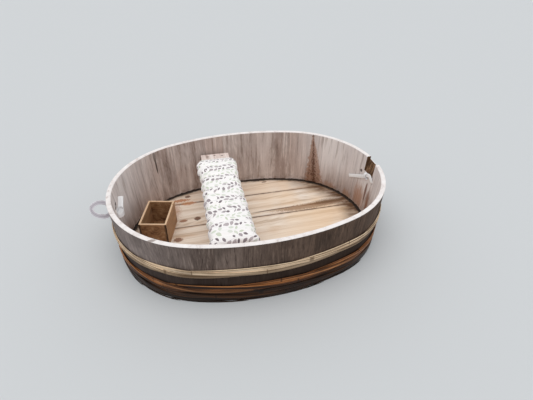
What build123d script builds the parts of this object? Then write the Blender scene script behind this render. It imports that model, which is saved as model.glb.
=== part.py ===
# Oval tub boat: upright cedar staves round a plank bottom, bound with bamboo hoops
import os
from math import atan, atan2, cos, degrees, radians, sin, tan
from build123d import *

os.makedirs("parts", exist_ok=True)

# Hull. X runs along the boat with the oar notch at +X, Y athwart, Z up from the foot of the staves
length = 1800.0          # over the rim, end to end
beam = 1339.0            # over the rim, side to side
end_tuck = 44.5          # the end arcs' radius at the rim is this much less than half the beam
depth = 540.0            # foot of the staves to the rim
wall = 29.0              # thickness of a stave, measured level
flare = 0.0761           # how far the staves lean out for each unit of height, all round
rim_chamfer = 3.0        # worn corners of the rim

# Plank bottom, driven into a groove in the staves
bottom_lift = 75.0       # underside of the planks above the foot
bottom_thick = 45.0
plank_width = 290.0
plank_shift = 99.0       # the seam next to the centre line stands this far to +Y
plank_turn = -1.8        # the planks lie slightly askew
plank_count = 5
groove_depth = 4.0
seat_gap = 0.3           # play where one piece seats on another

# Bamboo hoops: three split strips, twisted round each other into a flat ring
hoop_height = 65.0
hoop_thick = 14.0
strip_height = 20.0
strip_thick = 5.6
strip_count = 3
end_steps = 22           # straight lengths that make a strip's way round an end arc
side_steps = 8           # and round a side arc
upper_hoop_drop = 166.0  # top of the upper hoop below the rim
middle_hoop_top = 243.0  # the others are set by their tops above the foot
lower_hoop_top = 177.0
foot_hoop_top = 111.0

# Oar notch: the rim is cut low here and scooped away on the inside
notch_width = 126.0
notch_drop = 20.0        # the rim's outer edge is this much lower in the notch
notch_lip = 7.0          # wood left at that edge
notch_reach = 108.0      # the scoop runs this far down the inner face
notch_corner = 16.0
notch_angle = -1.9       # about the end arc's centre, from the X axis

# Mooring hole, beside the notch
mooring_radius = 13.0
mooring_drop = 130.0     # below the rim
mooring_stave = ("bow", 7)
mooring_edge = 6.9       # wood left between the hole and its stave's edge, inside

# Webbing handles: a strap through two slots in the staves, knotted inside
strap_width = 28.0
strap_thick = 5.0
knot_thick = 12.0
knot_over = 14.0         # how far the knot reaches past the slots
bow_slot_drop = 135.0    # below the rim
stern_slot_drop = 95.0   # the higher of the two at the stern
stern_slot_step = 48.0   # and the lower one, below it

# Bench across the boat, in a padded cloth sleeve
bench_room = 87.0        # the board is this much shorter than the boat is wide inside
bench_width = 212.0
bench_thick = 30.0
bench_top = 298.0        # top of the board above the planks
bench_x = -179.0
bench_turn = -3.2        # about Z, from straight across
leg_thick = 36.0
leg_width = 180.0
leg_inset = 20.0
pad_width = 284.0
pad_over = 52.0          # padding above the board
pad_under = 12.0         # cloth and padding below the board
pad_far = 80.0           # bare board at the far end
pad_near = 62.0          # bare board at the near end
pad_round = 26.0

# Open box on the planks, near the stern
box_width = 180.0
box_length = 269.0
box_height = 180.0
box_wall = 12.0
box_room = 212.0         # its middle stands this far from the inside of the stern
box_y = 94.0
box_turn = -16.0

# Four arcs make the oval. The side arcs meet the end arcs smoothly at the junction angle
floor_top = bottom_lift + bottom_thick
end_radius = beam / 2 - end_tuck
end_centre = length / 2 - end_radius
side_radius = (end_centre**2 + (beam / 2) ** 2 - end_radius**2) / (beam - 2 * end_radius)
side_centre = side_radius - beam / 2
junction = degrees(atan2(side_centre, end_centre))
full_turn = 360.0
half_turn = full_turn / 2
end_sweep = 2 * junction
side_sweep = half_turn - end_sweep

# One row for each arc: name, centre, radius at the rim, start angle, sweep
arcs = {
    "bow": ((end_centre, 0), end_radius, -junction, end_sweep),
    "far": ((0, -side_centre), side_radius, junction, side_sweep),
    "stern": ((-end_centre, 0), end_radius, half_turn - junction, end_sweep),
    "near": ((0, side_centre), side_radius, half_turn + junction, side_sweep),
}


def lean(height):
    """How far the outer face stands inside the rim's outline at a height"""
    return flare * (depth - height)


def radial_plane(arc, angle):
    """Upright plane through the arc's centre: X outwards, Y up"""
    centre = arcs[arc][0]
    out = Vector(cos(radians(angle)), sin(radians(angle)), 0)
    return Plane(origin=(*centre, 0), x_dir=out, z_dir=out.cross(Vector(0, 0, 1)))


def wall_plane(arc, angle, height):
    """Plane on the outer face: Z outwards and level, X level along the wall"""
    centre, radius = arcs[arc][:2]
    out = Vector(cos(radians(angle)), sin(radians(angle)), 0)
    foot = Vector(*centre, height) + out * (radius - lean(height))
    return Plane(origin=foot, x_dir=Vector(0, 0, 1).cross(out), z_dir=out)


def finish(part, name):
    """Labels a piece and writes it"""
    part.label = name
    export_step(part, "parts/" + name + ".step")


# Staves: one row of relative widths for each arc, in the arc's own direction
stave_widths = {
    "bow": (12.8, 13.0, 12.0, 13.0, 12.9, 14.0, 13.1, 12.5, 14.5, 13.0, 13.8),
    "far": (5.2, 4.8, 5.4, 4.9, 5.3, 4.7, 5.1),
    "stern": (13.4, 12.6, 13.2, 12.4, 13.9, 14.2, 12.7, 13.3, 12.5, 13.0, 13.4),
    "near": (4.9, 5.3, 4.8, 5.2, 5.0, 5.4, 4.8),
}


def stave_span(arc, count):
    """Start angle and sweep of a stave, counted from 1 along its arc"""
    start, sweep = arcs[arc][2:]
    widths = stave_widths[arc]
    share = sweep / sum(widths)
    return start + share * sum(widths[: count - 1]), share * widths[count - 1]


def across(arc, count, share):
    """The angle that stands a share of the way across a stave"""
    start, sweep = stave_span(arc, count)
    return start + share * sweep


# Slots for the handles: the arc, the angle about its centre, the height
bow_slots = [
    ("bow", across("bow", 5, 0.90), depth - bow_slot_drop),
    ("bow", across("bow", 6, 0.53), depth - bow_slot_drop),
]
stern_slots = [
    ("stern", across("stern", 6, 0.27), depth - stern_slot_drop),
    ("stern", across("stern", 6, 0.20), depth - stern_slot_drop - stern_slot_step),
]


def strap_plane(slots):
    """Plane of a handle and half its span: X from the first slot to the second, Y outwards"""
    first = wall_plane(*slots[0])
    second = wall_plane(*slots[1])
    run = second.origin - first.origin
    out = (first.z_dir + second.z_dir).normalized()
    along = (run - out * run.dot(out)).normalized()
    middle = (first.origin + second.origin) / 2
    return Plane(origin=middle, x_dir=along, z_dir=along.cross(out)), run.dot(along) / 2


def strap_slots(slots):
    """The two slots as cutters"""
    plane, side = strap_plane(slots)
    with BuildPart(mode=Mode.PRIVATE) as cutter:
        with BuildSketch(plane):
            with Locations((-side, 0), (side, 0)):
                Rectangle(strap_thick + 2 * seat_gap, 4 * wall)
        extrude(amount=strap_width / 2 + seat_gap, both=True)
    return cutter.part


# Oar notch: what is cut away, as a slice upright along the radius
with BuildPart() as notch:
    with BuildSketch(radial_plane("bow", notch_angle)):
        with BuildLine():
            Polyline(
                (end_radius + wall, depth + wall),
                (end_radius + wall, depth - notch_drop),
                (end_radius - notch_lip, depth - notch_drop),
                (end_radius - wall - lean(depth - notch_reach), depth - notch_reach),
                (end_radius - 3 * wall, depth - notch_reach),
                (end_radius - 3 * wall, depth + wall),
                close=True,
            )
        make_face()
    extrude(amount=notch_width / 2, both=True)
    side_edges = notch.edges().filter_by(GeomType.LINE).filter_by(lambda edge: abs(edge.tangent_at(0.5).Z) > 0.5)
    fillet(side_edges.group_by(Axis.X)[1], notch_corner)

# Mooring hole
mooring_inside = end_radius - wall - lean(depth - mooring_drop)
mooring_angle = stave_span(*mooring_stave)[0] + degrees((mooring_radius + mooring_edge) / mooring_inside)
mooring_plane = wall_plane("bow", mooring_angle, depth - mooring_drop)
with BuildPart() as mooring_hole:
    with BuildSketch(mooring_plane.offset(-2 * wall)):
        Circle(mooring_radius)
    extrude(amount=4 * wall)

# Which cutters reach which staves
bow_slot_cut = strap_slots(bow_slots)
stern_slot_cut = strap_slots(stern_slots)
stave_cuts = {
    ("bow", 5): [notch.part, bow_slot_cut],
    ("bow", 6): [notch.part, bow_slot_cut],
    mooring_stave: [notch.part, mooring_hole.part],
    ("stern", 6): [stern_slot_cut],
}


def leaning_plane(arc, angle):
    """Plane square to a stave's lean, at half its height: X outwards across the wall"""
    upright = radial_plane(arc, angle)
    leaning = (upright.x_dir * flare + upright.y_dir).normalized()
    middle = upright.origin + upright.y_dir * (depth / 2)
    return Plane(origin=middle, x_dir=leaning.cross(upright.z_dir), z_dir=leaning)


# A stave is hollowed and rounded along its own lean, bevelled on both edges to the radius of
# its arc, and sawn level at the foot and the rim
square = cos(atan(flare))  # turns a level measure into one square to the wall
for arc, widths in stave_widths.items():
    centre, radius = arcs[arc][:2]
    back = (radius - lean(depth / 2)) * square
    thick = wall * square
    for count in range(1, len(widths) + 1):
        start, sweep = stave_span(arc, count)
        middle = start + sweep / 2
        with BuildPart() as stave:
            with BuildSketch(leaning_plane(arc, middle)):
                with BuildLine():
                    outer = CenterArc((0, 0), back, -sweep, 2 * sweep)
                    inner = CenterArc((0, 0), back - thick, -sweep, 2 * sweep)
                    Line(outer @ 0, inner @ 0)
                    Line(outer @ 1, inner @ 1)
                make_face()
            extrude(amount=depth, both=True)
            with BuildSketch(Plane(origin=(*centre, 0))):
                with BuildLine():
                    first = PolarLine((0, 0), 2 * radius, start)
                    last = PolarLine((0, 0), 2 * radius, start + sweep)
                    Line(first @ 1, last @ 1)
                make_face()
            extrude(amount=depth, mode=Mode.INTERSECT)
            rim = stave.faces().sort_by(Axis.Z)[-1].edges()
            chamfer(rim.filter_by(GeomType.LINE, reverse=True), rim_chamfer)
            with BuildSketch(Plane(origin=(*centre, bottom_lift - seat_gap))):
                Circle(radius - lean(bottom_lift) - wall + groove_depth)
            extrude(amount=bottom_thick + 2 * seat_gap, mode=Mode.SUBTRACT)
            for cut in stave_cuts.get((arc, count), []):
                add(cut, mode=Mode.SUBTRACT)
        finish(stave.part, f"stave_{arc}_{count:02d}")

# Bottom planks, sawn to the groove
plank_edge = wall + lean(bottom_lift) - groove_depth + seat_gap
with BuildPart() as bottom:
    with BuildSketch(Plane.XY.offset(bottom_lift)):
        with BuildLine():
            for centre, radius, start, sweep in arcs.values():
                CenterArc(centre, radius - plank_edge, start, sweep)
        make_face()
    extrude(amount=bottom_thick)
plank_plane = Plane.XY.rotated((0, 0, plank_turn)).offset(bottom_lift)
for count in range(plank_count):
    middle = plank_shift + plank_width * (count - plank_count / 2)
    with BuildPart() as plank:
        with BuildSketch(plank_plane):
            with Locations((0, middle)):
                Rectangle(2 * length, plank_width)
        extrude(amount=bottom_thick)
        add(bottom.part, mode=Mode.INTERSECT)
    finish(plank.part, f"bottom_plank_{count + 1}")

# Stations round the boat, where a strip bends: arc, angle, and how much further out the
# corner between two straight lengths stands than their middles
stations = []
for arc, (centre, radius, start, sweep) in arcs.items():
    steps = end_steps if radius == end_radius else side_steps
    step = sweep / steps
    stations += [(arc, start + step * count, 1 / cos(radians(step / 2))) for count in range(steps)]

# One row for each hoop: name, top, turns of its twist
hoop_rows = [
    ("upper", depth - upper_hoop_drop, 4),
    ("middle", middle_hoop_top, 5),
    ("lower", lower_hoop_top, 4),
    ("foot", foot_hoop_top, 5),
]
strip_climb = (hoop_height - strip_height) / 2
strip_swing = (hoop_thick - strip_thick) / 2


def strip_section(station, top, turn):
    """One strip's section at a station, as points (outwards, up), at a turn of the twist"""
    arc, angle, spread = stations[station]
    middle = top - hoop_height / 2 + strip_climb * cos(turn)
    inner = seat_gap + strip_swing * (1 + sin(turn))
    points = []
    for up, out in ((-1, 0), (-1, 1), (1, 1), (1, 0)):
        height = middle + up * strip_height / 2
        points.append(((arcs[arc][1] - lean(height) + inner + out * strip_thick) * spread, height))
    return points


def half_strip(top, twists, strip, begin):
    """Half of a strip's way round the boat, from one station on"""
    with BuildPart(mode=Mode.PRIVATE) as piece:
        for count in range(begin, begin + len(stations) // 2 + 1):
            station = count % len(stations)
            turn = radians(full_turn) * (twists * count / len(stations) + strip / strip_count)
            with BuildSketch(radial_plane(*stations[station][:2])):
                with BuildLine():
                    Polyline(*strip_section(station, top, turn), close=True)
                make_face()
        loft(ruled=True)
    return piece.part


# Each strip goes round as two halves that meet, so that it closes on itself
for name, top, twists in hoop_rows:
    strips = []
    for strip in range(strip_count):
        with BuildPart() as ring:
            add(half_strip(top, twists, strip, 0))
            add(half_strip(top, twists, strip, len(stations) // 2))
        strips.append(ring.part)
    finish(Compound(children=strips), f"hoop_{name}")


def round_off(points):
    """Bend radii of a route, each as large as its two runs allow"""
    radii = []
    for before, here, after in zip(points, points[1:], points[2:]):
        first = Vector(*here) - Vector(*before)
        second = Vector(*after) - Vector(*here)
        turn = radians(first.get_angle(second))
        radii.append(0.45 * min(first.length, second.length) / tan(turn / 2))
    return radii


def strap(name, slots, route):
    """A strap out through one slot and back through the other, and the knot that holds its ends inside"""
    plane, side = strap_plane(slots)
    knot_side = side + knot_over
    rise = abs(plane.x_dir.Z) * knot_side + abs(plane.z_dir.Z) * strap_width / 2
    hollow = knot_side**2 / (2 * (end_radius - wall - lean(plane.origin.Z)))
    knot_line = -(wall + seat_gap + flare * rise + hollow)
    points = [(-side, knot_line), *route, (side, knot_line)]
    radii = round_off(points)
    with BuildPart() as band:
        with BuildSketch(plane):
            with BuildLine() as path:
                FilletPolyline(*points, radius=radii)
            trace(path.line, line_width=strap_thick)
        extrude(amount=strap_width / 2, both=True)
    finish(band.part, name)
    print(name, "length", round(sum(edge.length for edge in path.edges())), "bends", [round(bend) for bend in radii])
    with BuildPart() as knot:
        with BuildSketch(plane):
            with Locations((0, knot_line - knot_thick / 2)):
                Rectangle(2 * knot_side, knot_thick)
        extrude(amount=strap_width / 2, both=True)
    finish(knot.part, name + "_knot")


# The strap stands out of the staves as a stiff loop. Points are (from slot to slot, outwards)
bow_side = strap_plane(bow_slots)[1]
stern_side = strap_plane(stern_slots)[1]
bow_route = [(-bow_side, 18), (-60, 56), (-48, 100.2), (-10, 130.2), (32, 118.2), (58, 80), (56, 44), (bow_side, 14)]
stern_route = [(-stern_side, 20), (-48, 54), (-47, 92), (-20, 123), (16, 116), (38, 84), (36, 46), (stern_side, 16)]
strap("strap_bow", bow_slots, bow_route)
strap("strap_stern", stern_slots, stern_route)

# Bench: a board on two plank legs, in a sleeve of padding and cloth
bench_plane = Plane(origin=(bench_x, 0, floor_top), z_dir=(0, 0, 1)).rotated((0, 0, bench_turn))
bench_length = beam - 2 * (lean(floor_top + bench_top) + wall) - bench_room
with BuildPart() as bench_board:
    with BuildSketch(bench_plane.offset(bench_top - bench_thick)):
        Rectangle(bench_width, bench_length)
    extrude(amount=bench_thick)
finish(bench_board.part, "bench_board")

leg_y = bench_length / 2 - leg_inset - leg_thick / 2
for name, y in (("far", leg_y), ("near", -leg_y)):
    with BuildPart() as leg:
        with BuildSketch(bench_plane):
            with Locations((0, y)):
                Rectangle(leg_width, leg_thick)
        extrude(amount=bench_top - bench_thick)
    finish(leg.part, f"bench_leg_{name}")

pad_plane = Plane(origin=bench_plane.origin, x_dir=bench_plane.x_dir, z_dir=-bench_plane.y_dir)
with BuildPart() as pad:
    with BuildSketch(pad_plane.offset(pad_far - bench_length / 2)):
        with Locations((0, bench_top - bench_thick / 2 + (pad_over - pad_under) / 2)):
            RectangleRounded(pad_width, bench_thick + pad_over + pad_under, pad_round)
        with Locations((0, bench_top - bench_thick / 2)):
            Rectangle(bench_width + 2 * seat_gap, bench_thick + 2 * seat_gap, mode=Mode.SUBTRACT)
    extrude(amount=bench_length - pad_far - pad_near)
finish(pad.part, "bench_pad")

# Open box: four sides and a bottom let in between them
box_x = box_room + wall + lean(floor_top) - length / 2
box_plane = Plane(origin=(box_x, box_y, floor_top), z_dir=(0, 0, 1)).rotated((0, 0, box_turn))
side_x = (box_width - box_wall) / 2
side_y = (box_length - box_wall) / 2
box_inner = box_length - 2 * box_wall
# One row for each board: name, middle, width across, length along
box_rows = [
    ("box_end_near", (0, -side_y), box_width, box_wall),
    ("box_end_far", (0, side_y), box_width, box_wall),
    ("box_side_left", (-side_x, 0), box_wall, box_inner),
    ("box_side_right", (side_x, 0), box_wall, box_inner),
]
for name, middle, wide, long in box_rows:
    with BuildPart() as board:
        with BuildSketch(box_plane):
            with Locations(middle):
                Rectangle(wide, long)
        extrude(amount=box_height)
    finish(board.part, name)
with BuildPart() as box_bottom:
    with BuildSketch(box_plane):
        Rectangle(box_width - 2 * box_wall, box_inner)
    extrude(amount=box_wall)
finish(box_bottom.part, "box_bottom")
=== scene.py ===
"""Oval wooden tub boat: cedar staves in bamboo hoops, a plank bottom, webbing handles,
a padded cross bench and a small open box. Lengths are in metres."""

from math import atan2, copysign, cos, exp, pi, radians, remainder, sin, sqrt, tau

import bmesh
import bpy
from mathutils import Matrix, Vector


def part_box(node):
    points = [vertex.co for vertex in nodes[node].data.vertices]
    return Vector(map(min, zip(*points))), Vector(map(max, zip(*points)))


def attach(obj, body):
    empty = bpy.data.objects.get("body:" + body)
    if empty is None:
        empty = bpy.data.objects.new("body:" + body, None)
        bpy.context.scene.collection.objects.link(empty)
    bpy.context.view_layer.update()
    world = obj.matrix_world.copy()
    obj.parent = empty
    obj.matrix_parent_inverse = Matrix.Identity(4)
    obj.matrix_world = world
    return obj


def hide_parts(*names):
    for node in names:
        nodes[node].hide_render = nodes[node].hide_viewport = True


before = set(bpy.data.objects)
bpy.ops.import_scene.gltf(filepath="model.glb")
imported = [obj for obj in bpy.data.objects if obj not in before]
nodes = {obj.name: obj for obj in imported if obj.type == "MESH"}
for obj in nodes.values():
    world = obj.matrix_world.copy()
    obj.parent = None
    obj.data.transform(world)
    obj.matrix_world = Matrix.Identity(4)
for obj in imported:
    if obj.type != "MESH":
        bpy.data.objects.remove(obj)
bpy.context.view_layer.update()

# Camera
# A hand-held phone picture looks down on the boat from in front and a little to its left.
# The camera's place and lens come from the rim, the floor and the hoops.
camera_place = Vector((-0.50124, -2.17481, 1.91305))
camera_azimuth = radians(-15.750)
camera_elevation = radians(35.017)
camera_roll = radians(0.375)
camera_data = bpy.data.cameras.new("camera")
camera_data.lens = 26.947
camera_data.sensor_width = 36.0
camera = bpy.data.objects.new("camera", camera_data)
bpy.context.scene.collection.objects.link(camera)
camera.matrix_world = (
    Matrix.Translation(camera_place)
    @ Matrix.Rotation(camera_azimuth, 4, "Z")
    @ Matrix.Rotation(pi / 2 - camera_elevation, 4, "X")
    @ Matrix.Rotation(camera_roll, 4, "Z")
)
bpy.context.scene.camera = camera

# Floor and light
# A plain pale floor lies level with the hull's floating line, with an oval hole just inside the
# outer face of the hull. An even pale sky and one broad soft lamp light the boat.
floor_level = 0.0986
floor_tuck = 0.008
floor_edges = 128
floor_spread = 40.0
hull_depth = 0.540
wall = 0.029
flare = 0.0761
end_radius = 0.625
end_centre = 0.275
side_radius = 1.4976
side_centre = 0.8281
junction = atan2(side_centre, end_centre)
end_corner = atan2(end_radius * sin(junction), end_centre + end_radius * cos(junction))


def hull_place(angle, height, tuck):
    """The point at this angle round the boat, tucked in behind the hull's outer face."""
    lean = flare * (hull_depth - height) + tuck
    turn = abs(remainder(angle, tau))
    if turn < end_corner or turn > pi - end_corner:
        centre = end_centre if turn < end_corner else -end_centre
        radius = end_radius - lean
        reach = cos(angle) * centre
    else:
        centre = -copysign(side_centre, sin(angle))
        radius = side_radius - lean
        reach = sin(angle) * centre
    out = reach + sqrt(reach * reach - centre * centre + radius * radius)
    return Vector((out * cos(angle), out * sin(angle), height))


bpy.ops.object.select_all(action="DESELECT")
bpy.ops.mesh.primitive_circle_add(vertices=floor_edges, radius=1.0)
floor = bpy.context.object
floor.name = "floor"
for number, vertex in enumerate(floor.data.vertices):
    vertex.co = hull_place(tau * number / floor_edges, floor_level, floor_tuck)
bpy.ops.object.mode_set(mode="EDIT")
bpy.ops.mesh.select_all(action="SELECT")
bpy.ops.mesh.extrude_region_move()
bpy.ops.transform.resize(value=(floor_spread, floor_spread, 1.0))
bpy.ops.mesh.normals_make_consistent(inside=False)
bpy.ops.object.mode_set(mode="OBJECT")
floor_finish = bpy.data.materials.new("floor pale")
floor_finish.use_nodes = True
floor_shader = floor_finish.node_tree.nodes["Principled BSDF"]
floor_shader.inputs["Base Color"].default_value = (0.62, 0.63, 0.64, 1.0)
floor_shader.inputs["Roughness"].default_value = 0.9
floor.data.materials.append(floor_finish)

world = bpy.data.worlds.new("sky")
world.use_nodes = True
sky = world.node_tree.nodes["Background"]
sky.inputs["Color"].default_value = (0.93, 0.97, 1.0, 1.0)
sky.inputs["Strength"].default_value = 0.72
bpy.context.scene.world = world
lamp_data = bpy.data.lights.new("soft sky lamp", "SUN")
lamp_data.energy = 1.15
lamp_data.angle = radians(70)
lamp_data.color = (1.0, 0.985, 0.96)
lamp = bpy.data.objects.new("soft sky lamp", lamp_data)
lamp.rotation_euler = (radians(14), radians(-8), 0.0)
bpy.context.scene.collection.objects.link(lamp)
bpy.context.scene.view_settings.view_transform = "Standard"

# Staves
# Thirty-six upright cedar boards, 29 mm thick, bevelled to lean outwards and driven together.
# Sun has bleached the rim, the inside is grey and tan, and the outside is dark with damp and with painted
# shade.


def tone(red, green, blue, tint=0):
    """A colour given in the 0 to 255 of a picture, for a shader's socket."""
    linear = [(((part + tint) / 255 + 0.055) / 1.055) ** 2.4 for part in (red, green, blue)]
    return (*linear, 1.0)


def add_node(tree, kind, inputs=None, **settings):
    """One shader node. Its inputs are given as values or as the sockets that feed them."""
    made = tree.nodes.new("ShaderNode" + kind)
    for setting, value in settings.items():
        setattr(made, setting, value)
    for socket, value in (inputs or {}).items():
        if isinstance(value, bpy.types.NodeSocket):
            tree.links.new(value, made.inputs[socket])
        else:
            made.inputs[socket].default_value = value
    return made


def reckon(tree, operation, first, second=0.0, third=0.0):
    """A Math node's result."""
    return add_node(tree, "Math", {0: first, 1: second, 2: third}, operation=operation).outputs[0]


def minus(tree, first, second):
    """The first value less the second."""
    return reckon(tree, "SUBTRACT", first, second)


def times(tree, first, *others):
    """The product of these values."""
    for other in others:
        first = reckon(tree, "MULTIPLY", first, other)
    return first


def times_plus(tree, first, second, third):
    """The product of two values, and a third added to it."""
    return reckon(tree, "MULTIPLY_ADD", first, second, third)


def above(tree, value, limit):
    """1 where the value is over the limit, and 0 elsewhere."""
    return reckon(tree, "GREATER_THAN", value, limit)


def below(tree, value, limit):
    """1 where the value is under the limit, and 0 elsewhere."""
    return reckon(tree, "LESS_THAN", value, limit)


def between(tree, value, low, high):
    """A mask that goes smoothly from 0 at low to 1 at high."""
    inputs = {"Value": value, "From Min": low, "From Max": high}
    return add_node(tree, "MapRange", inputs, interpolation_type="SMOOTHSTEP").outputs[0]


def falling(tree, value, low, high):
    """A mask that goes smoothly from 1 at low to 0 at high."""
    return minus(tree, 1.0, between(tree, value, low, high))


def parts(tree, vector):
    """A vector's X, Y and Z."""
    return add_node(tree, "SeparateXYZ", {0: vector}).outputs


def vector_of(tree, x, y, z=0.0):
    """A vector put together from its X, Y and Z."""
    return add_node(tree, "CombineXYZ", {0: x, 1: y, 2: z}).outputs[0]


def steer(tree, operation, first, second=(0, 0, 0)):
    """A Vector Math node's result: a number for a length or a dot product, or else a vector."""
    made = add_node(tree, "VectorMath", {0: first, 1: second}, operation=operation)
    return made.outputs["Value" if operation in ("LENGTH", "DOT_PRODUCT") else "Vector"]


def placed(tree, vector, scale=(1, 1, 1), turn=(0, 0, 0), shift=(0, 0, 0)):
    """The vector after a Mapping node."""
    inputs = {"Vector": vector, "Location": shift, "Rotation": turn, "Scale": scale}
    return add_node(tree, "Mapping", inputs).outputs[0]


def cloud(tree, vector, scale, detail=2.0, roughness=0.55):
    """A Noise node's value."""
    inputs = {"Vector": vector, "Scale": scale, "Detail": detail, "Roughness": roughness}
    return add_node(tree, "TexNoise", inputs).outputs[0]


def stray(tree, vector, scale, detail=2.0, roughness=0.55):
    """A Noise node's value, about 0 instead of a half."""
    return minus(tree, cloud(tree, vector, scale, detail, roughness), 0.5)


def mottle(tree, vector, scale, detail, low, high, stretch=1.0, shift=(0, 0, 0)):
    """A mask of cloudy patches, drawn out along the vector's Z where the stretch is under 1."""
    vector = placed(tree, vector, scale=(1, 1, stretch), shift=shift)
    return between(tree, cloud(tree, vector, scale, detail), low, high)


def lay_over(tree, under, over, *masks, way="MIX"):
    """One colour laid over another, as strongly as the product of the masks."""
    inputs = {0: times(tree, *masks), 6: under, 7: over}
    return add_node(tree, "Mix", inputs, data_type="RGBA", blend_type=way).outputs[2]


def new_group(name, inputs, outputs):
    """An empty node group, with the sockets of its named inputs and outputs."""
    group = bpy.data.node_groups.new(name, "ShaderNodeTree")
    for socket, kind, value in inputs:
        made = group.interface.new_socket(socket, in_out="INPUT", socket_type="NodeSocket" + kind)
        if value is not None:
            made.default_value = value
    for socket, kind in outputs:
        group.interface.new_socket(socket, in_out="OUTPUT", socket_type="NodeSocket" + kind)
    return group, group.nodes.new("NodeGroupInput").outputs, group.nodes.new("NodeGroupOutput").inputs


def new_finish(name):
    """A new material, its tree, and the outputs of its Texture Coordinate node."""
    finish = bpy.data.materials.new(name)
    finish.use_nodes = True
    return finish, finish.node_tree, add_node(finish.node_tree, "TexCoord").outputs


def sealed(finish, colour, height, depth, strength, roughness, gloss=0.5, sheen=0.0):
    """The material, with this colour, height and gloss on its shader."""
    tree = finish.node_tree
    shader = tree.nodes["Principled BSDF"]
    bump = add_node(tree, "Bump", {"Height": height, "Distance": depth, "Strength": strength})
    tree.links.new(bump.outputs[0], shader.inputs["Normal"])
    tree.links.new(colour, shader.inputs["Base Color"])
    shader.inputs["Roughness"].default_value = roughness
    shader.inputs["Specular IOR Level"].default_value = gloss
    shader.inputs["Sheen Weight"].default_value = sheen
    return finish


def wear(node, finish):
    """Gives a CAD node this one material."""
    node.data.materials.clear()
    node.data.materials.append(finish)


# Wood whose grain runs along the vector's Z: fine fibres, wider streaks and growth rings.
grain, grain_in, grain_out = new_group(
    "wood grain",
    [("Vector", "Vector", None), ("Deep", "Color", tone(100, 84, 76)),
     ("Middle", "Color", tone(150, 133, 125)), ("Pale", "Color", tone(184, 168, 158)),
     ("Streaks", "Float", 34.0), ("Rings", "Float", 0.25), ("Contrast", "Float", 1.6)],
    [("Color", "Color"), ("Height", "Float")],
)
along = placed(grain, grain_in["Vector"], scale=(1, 1, 0.012))
fibres = stray(grain, along, 420.0, 2.0, 0.6)
streaks = stray(grain, placed(grain, along, scale=(1, 1, 0.5)), grain_in["Streaks"], 5.0, 0.6)
bend = cloud(grain, placed(grain, grain_in["Vector"], scale=(1, 1, 0.1)), 6.0, 1.5, 0.4)
rings = times(grain, reckon(grain, "SINE", times(grain, bend, 170.0)), grain_in["Rings"])
level = times_plus(grain, streaks, grain_in["Contrast"], 0.5)
level = times_plus(grain, fibres, 0.7, level)
level = times_plus(grain, rings, 0.5, level)
shade = lay_over(grain, grain_in["Deep"], grain_in["Middle"], between(grain, level, 0.12, 0.5))
shade = lay_over(grain, shade, grain_in["Pale"], between(grain, level, 0.5, 0.9))
grain.links.new(shade, grain_out["Color"])
grain.links.new(level, grain_out["Height"])


def wood(tree, vector, deep, middle, pale, streaks, rings, contrast):
    """A wood's colour and height in a material."""
    inputs = {"Vector": vector, "Deep": deep, "Middle": middle, "Pale": pale,
              "Streaks": streaks, "Rings": rings, "Contrast": contrast}
    return add_node(tree, "Group", inputs, node_tree=grain).outputs


# A ragged spot at one place: a stain, a knot, a worn patch, or the painted shade of a slit.
spot, spot_in, spot_out = new_group(
    "ragged spot",
    [("Vector", "Vector", None), ("Centre", "Vector", (0, 0, 0)),
     ("Reach", "Vector", (1, 1, 1)), ("Ragged", "Float", 0.5), ("Soft", "Float", 0.4)],
    [("Mask", "Float")],
)
offset = steer(spot, "SUBTRACT", spot_in["Vector"], spot_in["Centre"])
far_off = steer(spot, "LENGTH", steer(spot, "DIVIDE", offset, spot_in["Reach"]))
uneven = stray(spot, placed(spot, spot_in["Vector"], scale=(1, 1, 0.1)), 90.0, 4.0, 0.65)
far_off = times_plus(spot, uneven, times(spot, spot_in["Ragged"], 1.5), far_off)
spot_edge = 1.05
spot_middle = minus(spot, spot_edge, spot_in["Soft"])
spot.links.new(falling(spot, far_off, spot_middle, spot_edge), spot_out["Mask"])
small_reach = 0.04
small_softness = 0.4


def marked(tree, colour, where, marks, broad_softness=small_softness):
    """The colour with these marks laid on it, stains, wear and painted shade among them: centre, reach,
    raggedness, colour and strength.
    """
    for centre, reach, ragged, brown, amount in marks:
        soft = broad_softness if min(reach) > small_reach else small_softness
        inputs = {"Vector": where, "Centre": centre, "Reach": reach, "Ragged": ragged, "Soft": soft}
        mark = add_node(tree, "Group", inputs, node_tree=spot).outputs["Mask"]
        colour = lay_over(tree, colour, tone(*brown), mark, amount)
    return colour


# Marks inside: drips, damp, one dark crack, and painted shade in the two slits of the stern handle.
wall_stains_and_slit_shade = [
    ((0.845, 0.040, 0.20), (0.05, 0.09, 0.14), 1.3, (168, 116, 82), 0.7),
    ((0.846, -0.095, 0.22), (0.05, 0.05, 0.16), 1.2, (130, 82, 52), 0.8),
    ((0.846, -0.035, 0.29), (0.04, 0.016, 0.10), 0.8, (112, 66, 40), 0.8),
    ((0.820, 0.170, 0.13), (0.06, 0.07, 0.06), 1.3, (172, 124, 90), 0.6),
    ((0.740, 0.330, 0.13), (0.09, 0.08, 0.05), 1.4, (164, 118, 88), 0.6),
    ((-0.5915, 0.4945, 0.43), (0.008, 0.008, 0.11), 0.25, (74, 60, 54), 0.9),
    ((-0.597, 0.500, 0.50), (0.014, 0.014, 0.045), 0.8, (96, 80, 72), 0.7),
    # The two slits of the stern handle: painted shade where the band goes through the wall.
    ((-0.863, 0.040, 0.449), (0.012, 0.022, 0.010), 0.3, (56, 42, 38), 0.9),
    ((-0.863, 0.012, 0.437), (0.012, 0.022, 0.010), 0.3, (56, 42, 38), 0.9),
]
rim_chips = [((-0.650, -0.490, 0.54), (0.030, 0.012, 0.02), 0.6, (142, 126, 118), 0.75)]
plank_top = 0.12
flame_foot = (0.640, 0.430, 0.120)
flame_run = (0.769, -0.639, 0.0)
flame_height = 0.400
flame_half_width = 0.070
flame_lean = 0.041
notch_middle = -0.021
stave_tints = (0, 14, -10, 5, -6, 9)


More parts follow.
